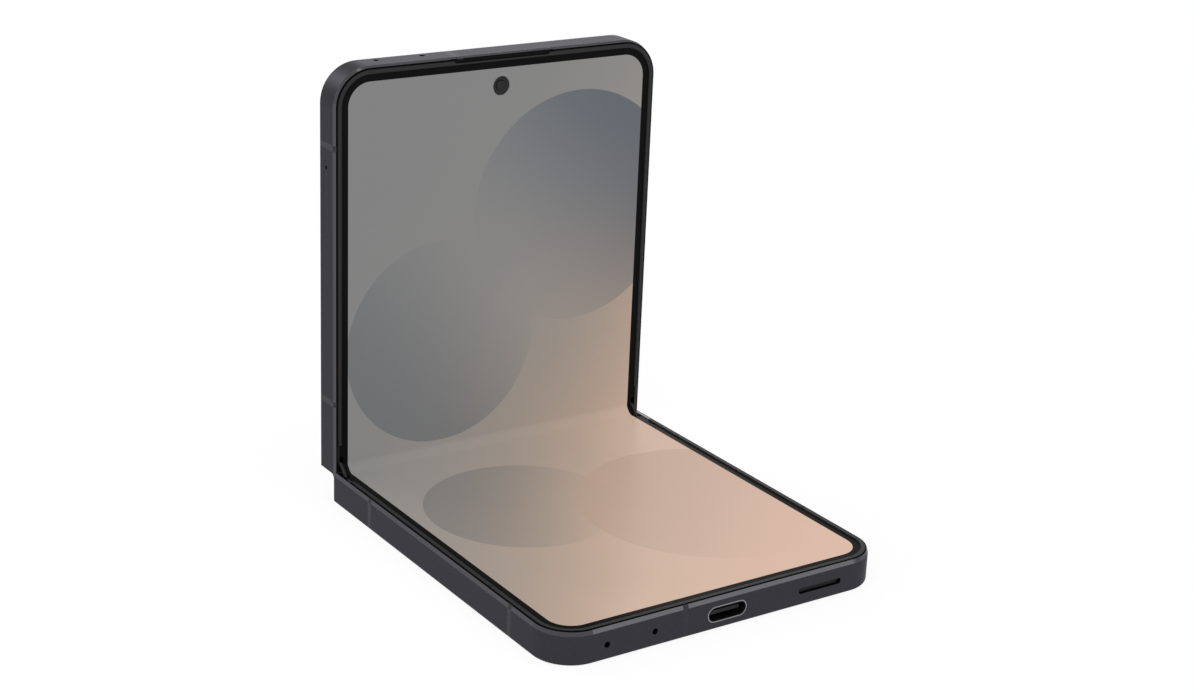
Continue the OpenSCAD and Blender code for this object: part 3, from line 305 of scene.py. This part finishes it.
class Finish:
    """A material with short ways to add and join its nodes."""

    def __init__(self, name):
        self.material = bpy.data.materials.new(name)
        self.material.use_nodes = True
        self.tree = self.material.node_tree
        self.shader = self.tree.nodes["Principled BSDF"]
        self.coords = None

    def set(self, **values):
        for socket, value in values.items():
            self.shader.inputs[socket.replace("_", " ")].default_value = value
        return self

    def node(self, kind, **settings):
        made = self.tree.nodes.new(kind)
        for setting, value in settings.items():
            setattr(made, setting, value)
        return made

    def join(self, out, into):
        self.tree.links.new(out, into)

    def feed(self, socket, value):
        if isinstance(value, (int, float, tuple)):
            socket.default_value = value
        else:
            self.join(value, socket)

    def paint(self, colour):
        self.feed(self.shader.inputs["Base Color"], colour)

    def object_coords(self):
        if self.coords is None:
            self.coords = self.node("ShaderNodeTexCoord").outputs["Object"]
        return self.coords

    def split(self, vector):
        made = self.node("ShaderNodeSeparateXYZ")
        self.join(vector, made.inputs[0])
        return made.outputs

    def math(self, operation, a, b=0.0, c=0.0):
        made = self.node("ShaderNodeMath", operation=operation)
        for socket, value in zip(made.inputs, (a, b, c)):
            self.feed(socket, value)
        return made.outputs[0]

    def times(self, a, b):
        return self.math("MULTIPLY", a, b)

    def minus(self, a, b):
        return self.math("SUBTRACT", a, b)

    def rest(self, share):
        """What is left of a share."""
        return self.minus(1.0, share)

    def reach(self, a, b):
        """Length of the vector (a, b)."""
        squares = [self.times(value, value) for value in (a, b)]
        return self.math("SQRT", self.math("ADD", *squares))

    def step(self, value, low, high):
        """0 below low, 1 above high, smooth between."""
        made = self.node("ShaderNodeMapRange", interpolation_type="SMOOTHSTEP")
        self.feed(made.inputs["Value"], value)
        self.feed(made.inputs["From Min"], low)
        self.feed(made.inputs["From Max"], high)
        return made.outputs["Result"]

    def blend(self, share, a, b):
        made = self.node("ShaderNodeMix", data_type="RGBA")
        self.feed(made.inputs[0], share)
        self.feed(made.inputs[6], a)
        self.feed(made.inputs[7], b)
        return made.outputs[2]

    def noise(self, scale, detail=2.0, stretch=None, vector=None):
        made = self.node("ShaderNodeTexNoise")
        made.inputs["Scale"].default_value = scale
        made.inputs["Detail"].default_value = detail
        source = vector if vector is not None else self.object_coords()
        if stretch:
            mapping = self.node("ShaderNodeMapping")
            mapping.inputs["Scale"].default_value = stretch
            self.join(source, mapping.inputs["Vector"])
            source = mapping.outputs[0]
        self.join(source, made.inputs["Vector"])
        return made.outputs["Fac"]

    def bump(self, height, strength, distance):
        made = self.node("ShaderNodeBump")
        made.inputs["Strength"].default_value = strength
        made.inputs["Distance"].default_value = distance
        self.join(height, made.inputs["Height"])
        self.join(made.outputs[0], self.shader.inputs["Normal"])

    def vary(self, colour, share, scale, stretch=None):
        """Base colour with fine light and dark variation."""
        speck = self.step(self.noise(scale, 3.0, stretch), 0.3, 0.7)
        dark = tuple(c * (1 - share) for c in colour[:3]) + (1.0,)
        light = tuple(min(1.0, c * (1 + share)) for c in colour[:3]) + (1.0,)
        self.paint(self.blend(speck, dark, light))

    def rough_between(self, low, high, share):
        """Roughness that runs from low to high with a share."""
        made = self.node("ShaderNodeMapRange")
        self.join(share, made.inputs["Value"])
        made.inputs["To Min"].default_value = low
        made.inputs["To Max"].default_value = high
        self.join(made.outputs[0], self.shader.inputs["Roughness"])

    def roughen(self, low, high, scale, stretch=None):
        self.rough_between(low, high, self.noise(scale, 4.0, stretch))


def darker(colour, share):
    return tuple(c * share for c in colour[:3]) + (1.0,)


def outline_depth(finish, x, s):
    """Distance inwards from the rounded outline, from flat coordinates in millimetres."""
    over = []
    for value, end in ((x, phone_w / 2), (s, half_l)):
        past = finish.minus(finish.math("ABSOLUTE", value), end - corner_r)
        over.append(finish.math("MAXIMUM", past, 0.0))
    return finish.minus(corner_r, finish.reach(*over))


def half_coords(finish, half):
    """Coordinates across a half, from the seam and up from the display, in millimetres."""
    x, y, z = finish.split(finish.object_coords())
    x = finish.times(x, 1 / MM)
    origin = in_row(half, 0, 0, 0)
    if half == "lower":
        s = finish.math("MULTIPLY_ADD", y, -1 / MM, origin.y / MM)
        height = finish.math("MULTIPLY_ADD", z, 1 / MM, -origin.z / MM)
    else:
        s = finish.math("MULTIPLY_ADD", z, 1 / MM, -origin.z / MM)
        height = finish.math("MULTIPLY_ADD", y, -1 / MM, origin.y / MM)
    return x, s, height


def anodised(name, colour, edge_colour, half):
    """Satin anodised aluminium with a polished bevel, with painted shade inside its holes and
    in the gap beside the rim.
    """
    finish = Finish(name).set(Metallic=0.95, Specular_Tint=(0.66, 0.66, 0.68, 1.0))
    x, s, height = half_coords(finish, half)
    satin_rough, bevel_rough, hole_rough = 0.46, 0.1, 0.3
    # height of the wall's rounded edges, and of the soft change where a dark band ends
    rounded, soft = 1.3, 0.1
    polished = finish.step(height, -edge_depth - 0.02, -edge_depth + 0.02)
    grain = finish.step(finish.noise(2600.0, 3.0), 0.35, 0.65)
    satin = finish.blend(grain, darker(colour, 0.92), colour)
    skin = finish.blend(polished, satin, edge_colour)
    # painted shade in holes, slots and key gaps, between the two rounded edges
    depth = outline_depth(finish, x, s)
    hole_shade = finish.step(depth, 0.04, 0.07)
    hole_shade = finish.times(hole_shade, finish.step(height, rounded - half_t, rounded + soft - half_t))
    hole_shade = finish.times(hole_shade, finish.rest(finish.step(height, -rounded, soft - rounded)))
    hole_shade = finish.times(hole_shade, finish.step(s, 1.0, 1.2))
    # painted shade of the narrow gap between the lip and the plastic rim
    line = finish.step(depth, gap_shade_from - 0.01, gap_shade_from)
    line = finish.times(line, finish.step(height, -0.15, -0.1))
    hole_shade = finish.math("MAXIMUM", hole_shade, line)
    # painted shade: the holes and the gap at the lip are coloured near black
    finish.paint(finish.blend(hole_shade, skin, tone(8, 8, 9)))
    rough = finish.math("MULTIPLY_ADD", polished, bevel_rough - satin_rough, satin_rough)
    rough = finish.math("MULTIPLY_ADD", hole_shade, hole_rough, rough)
    finish.join(rough, finish.shader.inputs["Roughness"])
    # the blasted grain stops at the polished bevel
    blasted = finish.times(finish.noise(5200.0, 2.0), finish.rest(polished))
    finish.bump(blasted, 0.12, fine_grain)
    return finish.material


def rolled_steel(name, colour, rough=0.3, stretch=(1, 14, 14)):
    finish = Finish(name).set(Metallic=1.0)
    finish.vary(colour, 0.1, 700.0, stretch)
    finish.roughen(rough * 0.8, rough * 1.25, 900.0, stretch)
    finish.bump(finish.noise(1500.0, 2.0, stretch), 0.1, fine_grain)
    return finish.material


def moulded(name, colour, rough, grain, height, gloss=0.5):
    finish = Finish(name).set(Specular_IOR_Level=gloss)
    finish.vary(colour, 0.08, grain * 0.6)
    finish.roughen(rough * 0.85, rough * 1.15, grain)
    finish.bump(finish.noise(grain, 3.0), height, coarse_grain)
    return finish.material


def rim_finish(half, colour):
    """Matt plastic rim, with painted shade in the fine gap beside the metal lip."""
    finish = Finish(half + "_rim_plastic").set(Specular_IOR_Level=0.14)
    speck = finish.step(finish.noise(2200.0, 3.0), 0.3, 0.7)
    depth = outline_depth(finish, *half_coords(finish, half)[:2])
    rim_gap_shade = finish.step(depth, gap_shade_to, gap_shade_to + 0.05)
    plastic = finish.blend(speck, darker(colour, 0.92), colour)
    # painted shade: the rim's outer edge at the gap is coloured near black
    finish.paint(finish.blend(rim_gap_shade, tone(4, 4, 4), plastic))
    finish.roughen(0.43, 0.57, 3600.0)
    finish.bump(finish.noise(3600.0, 3.0), 0.08, coarse_grain)
    return finish.material


def glass_skin(name, colour, rough):
    """Back glass, painted underneath."""
    finish = Finish(name).set(Specular_IOR_Level=0.5)
    finish.vary(colour, 0.05, 300.0)
    finish.roughen(rough * 0.9, rough * 1.1, 1800.0)
    return finish.material


def camera_barrel():
    """Matt black hood round each rear camera's front lens, whose coating's reflection is
    painted in, lighter from its middle to its rim.
    """
    finish = Finish("camera_barrel")
    x, _, z = finish.split(finish.object_coords())
    near, other = (
        finish.reach(finish.minus(x, lens_x * MM), finish.minus(z, lens_height * MM))
        for lens_x in lens_axes
    )
    far = finish.math("MINIMUM", near, other)
    coated = finish.rest(
        finish.step(far, (front_lens_r - 0.08) * MM, (front_lens_r - 0.03) * MM)
    )
    # painted reflection: the coated lens is dark blue in the middle and lighter purple at its
    # rim
    rim = finish.step(far, 0.2 * MM, front_lens_r * MM)
    lens_reflection = finish.blend(rim, tone(14, 18, 36), tone(44, 26, 70))
    hood = finish.blend(finish.noise(2400.0, 3.0), tone(17, 17, 18), tone(24, 24, 25))
    finish.paint(finish.blend(coated, hood, lens_reflection))
    finish.rough_between(0.5, 0.06, coated)
    return finish.material


def clear_glass():
    """Polished cover of a rear camera, faintly smudged."""
    finish = Finish("camera_glass").set(
        Base_Color=(0.96, 0.97, 1.0, 1.0), Transmission_Weight=1.0, IOR=1.46
    )
    finish.roughen(0.0, 0.03, 260.0)
    return finish.material


def disc(finish, x, s, centre, radius, soft):
    """1 inside a round disc of the picture, 0 outside."""
    far = finish.reach(finish.minus(x, centre[0]), finish.minus(s, centre[1]))
    return finish.rest(finish.step(far, radius - soft, radius))


def lit_screen(name):
    """Display film over a lit picture: a soft ground with translucent discs, in a black border.

    The picture reads the sheet's own flat coordinates, so it crosses the bend unbroken."""
    finish = Finish(name).set(Roughness=0.3, Specular_IOR_Level=0.02)
    flat = finish.node("ShaderNodeUVMap", uv_map="flat")
    across, along, _ = finish.split(flat.outputs[0])
    x = finish.times(finish.minus(across, 0.5), flat_w)
    s = finish.times(finish.minus(along, 0.5), flat_l)

    # ground: grey at the top, warming to sand and peach towards the lower end and the right
    cloud = finish.noise(2.6, 2.0, (1.0, 2.0, 1.0), vector=flat.outputs[0])
    drift = finish.times(finish.minus(cloud, 0.5), 20.0)
    warm = finish.math("ADD", finish.times(x, -1.4), s)
    warm = finish.math("ADD", warm, drift)
    share = finish.node("ShaderNodeMapRange")
    finish.join(warm, share.inputs["Value"])
    share.inputs["From Min"].default_value = 120.0
    share.inputs["From Max"].default_value = -120.0
    ramp = finish.node("ShaderNodeValToRGB")
    ramp.color_ramp.interpolation = "B_SPLINE"
    stops = [
        (0.0, tone(133, 133, 133)),
        (0.2, tone(134, 134, 134)),
        (0.36, tone(142, 141, 139)),
        (0.52, tone(160, 149, 140)),
        (0.64, tone(182, 161, 145)),
        (0.74, tone(210, 182, 163)),
        (1.0, tone(224, 190, 171)),
    ]
    while len(ramp.color_ramp.elements) < len(stops):
        ramp.color_ramp.elements.new(0.5)
    for element, (place, colour) in zip(ramp.color_ramp.elements, stops):
        element.position = place
        element.color = colour
    finish.join(share.outputs[0], ramp.inputs[0])
    picture = ramp.outputs[0]

    # translucent discs: centre, radius, the side that is darkest, colour and strength
    discs = [
        ((19.0, 50.0), 25.0, (0.8, 0.6), tone(92, 100, 110), 0.85),
        ((-13.0, 25.0), 22.0, (-0.7, -0.7), tone(104, 108, 112), 0.7),
        ((-12.0, -32.0), 20.0, (-0.8, 0.5), tone(116, 114, 112), 0.6),
        ((22.0, -48.0), 27.0, (-0.6, 0.8), tone(184, 158, 140), 0.55),
    ]
    for centre, radius, dark_side, colour, strength in discs:
        inside = disc(finish, x, s, centre, radius, 0.18)
        lean = finish.math(
            "ADD",
            finish.times(finish.minus(x, centre[0]), dark_side[0] / radius),
            finish.times(finish.minus(s, centre[1]), dark_side[1] / radius),
        )
        shade = finish.step(lean, -1.1, 1.0)
        share = finish.times(finish.times(inside, shade), strength)
        picture = finish.blend(share, picture, colour)

    # black border with round corners, and the front camera's opening
    depth = outline_depth(finish, x, s)
    border = finish.rest(finish.step(depth, picture_inset - 0.04, picture_inset + 0.04))
    opening = disc(finish, x, s, (0.0, selfie_y), selfie_r, 0.06)
    border = finish.math("MAXIMUM", border, opening)
    # part of the picture is lit and the rest is painted, so it stays as bright as it is written
    lit_share = 0.6
    shown = finish.blend(border, picture, tone(33, 33, 34))
    finish.paint(finish.blend(lit_share, shown, BLACK))
    finish.feed(finish.shader.inputs["Emission Color"], finish.blend(border, picture, BLACK))
    finish.set(Emission_Strength=lit_share)
    return finish.material


frame_tone = tone(58, 57, 62)
edge_tone = tone(82, 82, 86)
lower_metal = anodised("anodised_lower", frame_tone, edge_tone, "lower")
upper_metal = anodised("anodised_upper", frame_tone, edge_tone, "upper")


def spine_finish():
    finish = Finish("anodised_spine").set(Metallic=0.85)
    finish.vary(frame_tone, 0.05, 2600.0)
    finish.roughen(0.4, 0.46, 2600.0)
    finish.bump(finish.noise(5200.0, 2.0), 0.12, fine_grain)
    return finish.material


rim_tone = tone(44, 44, 45)
gloss_black = moulded("gloss_black", tone(9, 9, 10), 0.12, 900.0, 0.02, 0.4)
matt_black = moulded("matt_black", tone(24, 24, 25), 0.6, 2400.0, 0.15, 0.3)
antenna_plastic = moulded("antenna_plastic", tone(46, 45, 49), 0.5, 3000.0, 0.05, 0.2)
port_steel = rolled_steel("port_steel", (0.22, 0.22, 0.225, 1.0), 0.3)
sensor_black = moulded("sensor_black", tone(8, 8, 8), 0.7, 2400.0, 0.1, 0.1)
spring_steel = rolled_steel("spring_steel", (0.36, 0.36, 0.37, 1.0))
hinge_steel = rolled_steel("hinge_steel", (0.26, 0.26, 0.27, 1.0), 0.34)
screw_steel = rolled_steel("screw_steel", (0.2, 0.2, 0.21, 1.0), 0.28, (1, 1, 1))
magnet_nickel = rolled_steel("magnet_nickel", (0.42, 0.41, 0.4, 1.0), 0.2, (1, 1, 1))
ring_metal = rolled_steel("ring_metal", tone(112, 112, 116), 0.22, (1, 1, 1))
copper = rolled_steel("copper_foil", (0.55, 0.28, 0.13, 1.0), 0.32, (1, 1, 1))
solder_mask = moulded("solder_mask", tone(20, 62, 44), 0.35, 1200.0, 0.1)
pouch_foil = moulded("pouch_foil", tone(52, 52, 54), 0.5, 500.0, 0.3)
rubber = moulded("stop_rubber", tone(30, 30, 30), 0.7, 2200.0, 0.2, 0.25)
flash_plastic = moulded("flash_plastic", tone(228, 222, 200), 0.3, 1500.0, 0.05)
lower_skin = glass_skin("frosted_back", tone(62, 61, 66), 0.4)
upper_skin = glass_skin("cover_glass", tone(8, 8, 10), 0.07)
finishes = {
    "lower_frame": lower_metal,
    "upper_frame": upper_metal,
    "hinge_spine_cover": spine_finish(),
    "side_key": upper_metal,
    "volume_rocker": upper_metal,
    "sim_tray": upper_metal,
    "lower_back_glass": lower_skin,
    "upper_back_glass": upper_skin,
    "cover_display": gloss_black,
    "hinge_end_caps": gloss_black,
    "usb_c_tongue": matt_black,
    "lower_bezel_rim": rim_finish("lower", rim_tone),
    "upper_bezel_rim": rim_finish("upper", rim_tone),
    "lower_antenna_breaks": antenna_plastic,
    "upper_antenna_breaks": antenna_plastic,
    "lower_support_plate": spring_steel,
    "upper_support_plate": spring_steel,
    "lower_rim_ends": gloss_black,
    "upper_rim_ends": gloss_black,
    "usb_c_shell": port_steel,
    "vibration_motor": spring_steel,
    "hinge_disc_springs": spring_steel,
    "shield_cans": spring_steel,
    "sim_socket": spring_steel,
    "lower_hinge_brackets": hinge_steel,
    "upper_hinge_brackets": hinge_steel,
    "hinge_bases": hinge_steel,
    "lower_hinge_arms": hinge_steel,
    "upper_hinge_arms": hinge_steel,
    "lower_idler_gears": hinge_steel,
    "upper_idler_gears": hinge_steel,
    "lower_bracket_screws": screw_steel,
    "upper_bracket_screws": screw_steel,
    "hinge_base_screws": screw_steel,
    "lower_magnets": magnet_nickel,
    "upper_magnets": magnet_nickel,
    "lens_rings": ring_metal,
    "lens_glasses": clear_glass(),
    "flash_lens": flash_plastic,
    "charging_coil": copper,
    "bottom_microphones": sensor_black,
    "top_microphones": sensor_black,
    "key_switch_flex": copper,
    "sub_board": solder_mask,
    "main_board": solder_mask,
    "lower_battery": pouch_foil,
    "upper_battery": pouch_foil,
    "loudspeaker": matt_black,
    "earpiece": matt_black,
    "selfie_camera": matt_black,
    "rear_cameras": camera_barrel(),
    "loudspeaker_mesh": matt_black,
    "earpiece_mesh": sensor_black,
    "lower_rubber_stops": rubber,
}
for node_name, material in finishes.items():
    dress(nodes[node_name], material)

# ------------------------------------------------------------------ display over the bend

screen_picture = lit_screen("lit_screen")


def flat_screen():
    """Display of one half, flat: a strip that widens to the panel with its round corners."""
    piece = strip("display", fold_half_w, fold_y, display_rows)
    panel_half_w = phone_w / 2 - panel_inset
    far_y = half_l - panel_inset
    widening_l = 0.05
    pick(piece, lambda v: v.co.y > fold_y - hair)
    bpy.ops.mesh.extrude_region_move(TRANSFORM_OT_translate={"value": (0, widening_l, 0)})
    bpy.ops.transform.resize(value=(panel_half_w / fold_half_w, 1, 1))
    bpy.ops.mesh.extrude_region_move(
        TRANSFORM_OT_translate={"value": (0, far_y - fold_y - widening_l, 0)}
    )
    pick(piece, lambda v: v.co.y > far_y - 10 * hair)
    bpy.ops.mesh.bevel(
        offset=corner_r - panel_inset, segments=20, affect="VERTICES", profile=0.5
    )
    bpy.ops.mesh.select_all(action="SELECT")
    bpy.ops.mesh.normals_make_consistent(inside=False)
    out_of_edit()
    thicken(piece, panel_t)
    return piece


def finish_screen(piece, half):
    """Gives a half's display its picture, bends it and puts it in its half's place."""
    sign = -1 if half == "lower" else 1
    layer = piece.data.uv_layers.new(name="flat")
    for loop in piece.data.loops:
        x, y, _ = piece.data.vertices[loop.vertex_index].co
        layer.data[loop.index].uv = (x / flat_w + 0.5, sign * y / flat_l + 0.5)
    dress(piece, screen_picture)
    bend_display(piece)
    put_in_row(piece, half)
    smooth(piece)
    follow_fold(piece, half, bend_y, 0)
    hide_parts(half + "_display_panel")


lower_display = flat_screen()
lower_display.name = "lower_display"
upper_display = copied(lower_display, "upper_display")
deselect()
bpy.ops.mesh.primitive_cylinder_add(
    vertices=64, radius=selfie_r, depth=4, location=(0, selfie_y, 0)
)
opening_tool = started("camera_opening")
modify(upper_display, "BOOLEAN", operation="DIFFERENCE", object=opening_tool, solver="EXACT")
bpy.data.objects.remove(opening_tool)
finish_screen(lower_display, "lower")
finish_screen(upper_display, "upper")
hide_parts("display_fold_zone")


def flat_lattice():
    """Steel sheet under the bend, slotted in staggered rows."""
    half_w = fold_half_w - lattice_inset
    piece = strip("lattice", half_w, fold_y, lattice_rows, lattice_columns)
    cell_l = fold_y / lattice_rows
    cell_w = 2 * half_w / lattice_columns
    # one row in four is slotted, each slot five cells of six, and every other row is shifted
    row_pitch, slot_pitch, slot_cells = 4, 6, 5

    def in_slot(face):
        centre = face.calc_center_median()
        row = int(centre.y / cell_l)
        column = int((centre.x + half_w) / cell_w)
        shift = 0 if row % (2 * row_pitch) < row_pitch else slot_pitch // 2
        return row % row_pitch == 2 and (column + shift) % slot_pitch < slot_cells

    pick(piece, in_slot, "FACE")
    bpy.ops.mesh.delete(type="FACE")
    out_of_edit()
    piece.data.transform(Matrix.Translation((0, 0, -panel_t - sheet_gap)))
    thicken(piece, plate_t - sheet_gap)
    return piece


def flat_cable():
    """Flat cable under the lattice, with its stiffened end inside the half."""
    piece = strip("cable", cable_w / 2, cable_y, cable_rows)
    pick(piece, lambda v: v.co.y > cable_y - hair)
    bpy.ops.mesh.extrude_region_move(TRANSFORM_OT_translate={"value": (0, cable_tail_l, 0)})
    out_of_edit()
    piece.data.transform(Matrix.Translation((0, 0, cable_z)))
    thicken(piece, cable_t)
    return piece


def finish_sheet(shape, name, material, node_name, start):
    """Makes both halves' share of a sheet under the display, bent from start to the spine."""
    dress(shape, material)
    twin = copied(shape, "upper_" + name)
    shape.name = "lower_" + name
    for half, piece in (("lower", shape), ("upper", twin)):
        bend(piece, *start)
        put_in_row(piece, half)
        smooth(piece)
        follow_fold(piece, half, *start)
        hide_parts(node_name)


lattice = flat_lattice()
cable = flat_cable()
lattice_start = (fold_y, -panel_t - sheet_gap)
cable_start = (cable_y, cable_z)
finish_sheet(
    lattice, "fold_lattice", spring_steel, "fold_support_lattice", lattice_start
)
finish_sheet(cable, "fold_cable", copper, "hinge_flex_cable", cable_start)

# ------------------------------------------------------------------ studio


def seen_rays(tree):
    """1 for what shows straight, in gloss or through glass, 0 for light on the object."""
    path = tree.nodes.new("ShaderNodeLightPath")
    total = path.outputs["Is Camera Ray"]
    for ray in ("Is Glossy Ray", "Is Transmission Ray"):
        add = tree.nodes.new("ShaderNodeMath")
        add.operation = "MAXIMUM"
        tree.links.new(total, add.inputs[0])
        tree.links.new(path.outputs[ray], add.inputs[1])
        total = add.outputs[0]
    return total


def add_softbox(name, place, target, size, power):
    """Square soft lamp aimed at a point."""
    lamp = bpy.data.lights.new(name, "AREA")
    lamp.energy = power
    lamp.size = size
    holder = bpy.data.objects.new(name, lamp)
    bpy.context.scene.collection.objects.link(holder)
    holder.location = place
    aim = Vector(target) - Vector(place)
    holder.rotation_euler = aim.to_track_quat("-Z", "Y").to_euler()


def mixed(tree, share, light, shown, output):
    """Joins a shader for the light and one for what shows to an output node."""
    mix = tree.nodes.new("ShaderNodeMixShader")
    tree.links.new(share, mix.inputs[0])
    tree.links.new(light.outputs[0], mix.inputs[1])
    tree.links.new(shown.outputs[0], mix.inputs[2])
    tree.links.new(mix.outputs[0], tree.nodes[output].inputs[0])


def white_world():
    """White where it shows, with half that strength as light."""
    world = bpy.data.worlds.new("studio")
    bpy.context.scene.world = world
    world.use_nodes = True
    tree = world.node_tree
    back = tree.nodes["Background"]
    back.inputs["Color"].default_value = (1.0, 1.0, 1.0, 1.0)
    back.inputs["Strength"].default_value = 0.5
    white = tree.nodes.new("ShaderNodeBackground")
    white.inputs["Strength"].default_value = 1.0
    mixed(tree, seen_rays(tree), back, white, "World Output")


def white_floor():
    """Floor that shows white and keeps a faint shadow of the object."""
    glow_strength = 1.02
    # share of what shows that is the floor's own white; the rest carries the shadow
    glow_share = 0.88
    deselect()
    bpy.ops.mesh.primitive_circle_add(
        vertices=96, radius=4.0, fill_type="NGON", location=(0, 0, -0.00002)
    )
    floor = started("floor")
    cover = bpy.data.materials.new("floor_white")
    cover.use_nodes = True
    tree = cover.node_tree
    shader = tree.nodes["Principled BSDF"]
    shader.inputs["Base Color"].default_value = (0.9, 0.9, 0.9, 1.0)
    shader.inputs["Roughness"].default_value = 0.9
    shader.inputs["Specular IOR Level"].default_value = 0.0
    glow = tree.nodes.new("ShaderNodeEmission")
    glow.inputs["Strength"].default_value = glow_strength
    share = tree.nodes.new("ShaderNodeMath")
    share.operation = "MULTIPLY"
    share.inputs[1].default_value = glow_share
    tree.links.new(seen_rays(tree), share.inputs[0])
    mixed(tree, share.outputs[0], shader, glow, "Material Output")
    floor.data.materials.append(cover)


def lamps():
    middle = (0, 0.01, 0.03)
    for name, place, size, power in (
        ("key_left", (-0.9, -0.55, 0.9), 0.9, 5.0),
        ("fill_right", (0.9, -0.9, 0.6), 1.0, 3.0),
        ("top", (0.1, -0.1, 1.3), 1.2, 4.5),
        ("back_box", (-0.45, 1.0, 0.72), 0.45, 3.5),
        ("end_box", (0.55, 0.95, 0.34), 0.4, 0.8),
    ):
        add_softbox(name, place, middle, size, power)


def photo_camera():
    """Camera fitted to the photograph's straight edges."""
    place = (-0.22742, -0.32715, 0.18522)
    # degrees: aim from +Y towards +X, aim below level, and turn about the line of sight
    heading, below, roll = 34.472, 19.956, 2.421
    lens = bpy.data.cameras.new("photo_camera")
    lens.sensor_width = 36.0
    lens.lens = 66.25
    lens.clip_start = 0.01
    camera = bpy.data.objects.new("photo_camera", lens)
    bpy.context.scene.collection.objects.link(camera)
    pose = Matrix.Translation(place)
    for angle, axis in ((-heading, "Z"), (90 - below, "X"), (roll, "Z")):
        pose = pose @ Matrix.Rotation(math.radians(angle), 4, axis)
    camera.matrix_world = pose
    bpy.context.scene.camera = camera


white_world()
white_floor()
lamps()
photo_camera()
bpy.context.scene.view_settings.view_transform = "Standard"
